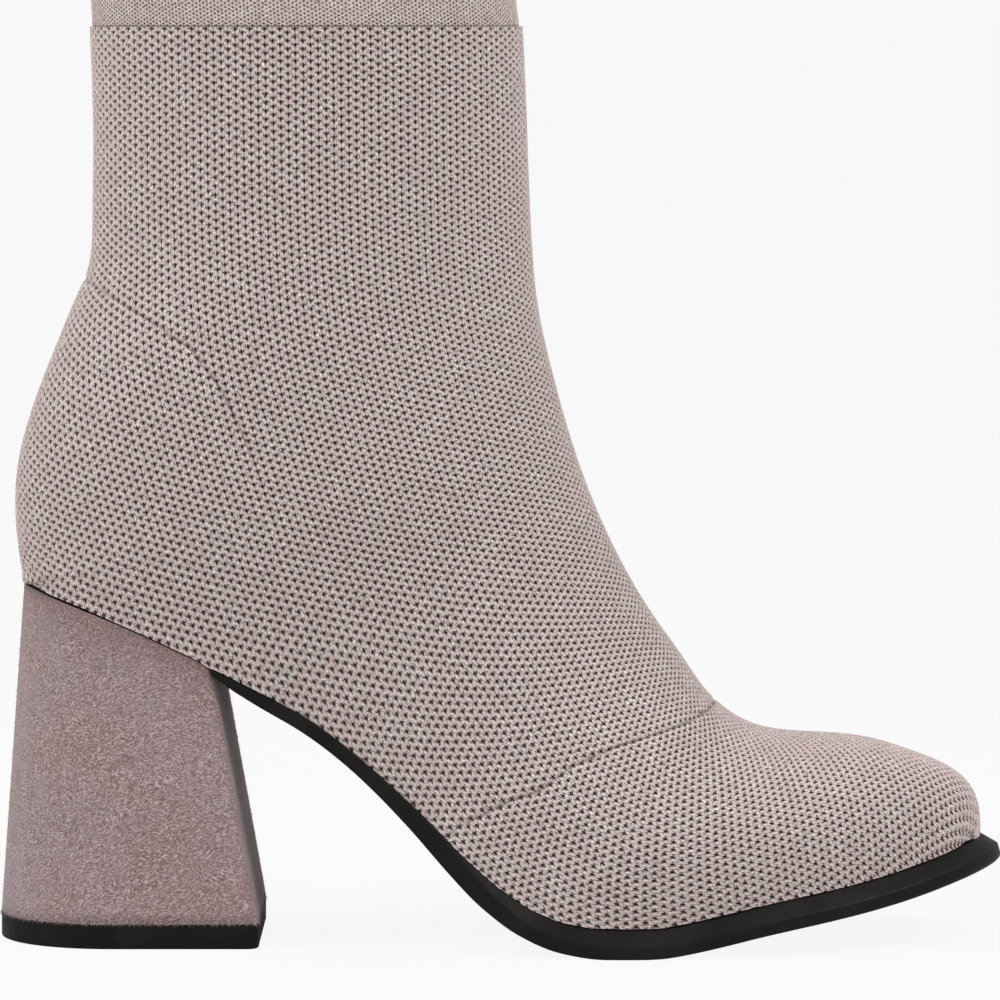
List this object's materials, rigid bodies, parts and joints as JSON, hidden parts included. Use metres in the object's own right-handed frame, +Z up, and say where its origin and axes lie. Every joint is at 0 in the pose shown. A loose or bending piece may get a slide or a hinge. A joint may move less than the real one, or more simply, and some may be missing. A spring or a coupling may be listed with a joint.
{
  "type": "heeled ankle boot",
  "caption": "Sock-like knitted ankle boot for the right foot, with an open collar, a flared block heel covered in suede and a thin rubber sole that stands out as a ledge round the forefoot",
  "frame": {"origin": "on the floor, at the middle of the face the heel stands on", "axes": "X from heel to toe, Y to the inner side of the right foot, Z up"},
  "size_m": [0.2439, 0.0904, 0.2338],
  "materials": {
    "knit": "open structured knit in taupe yarn with pale silvery flecks, matt",
    "insole_lining": "smooth matt lining",
    "sole_rubber": "black, satin",
    "suede": "suede with a short swirled nap, mauve-taupe",
    "heel_rubber": "black, satin"
  },
  "bodies": {
    "root": {"upper": "knit", "insole": "insole_lining", "outsole": "sole_rubber", "heel": "suede", "top_piece": "heel_rubber"}
  },
  "joints": []
}
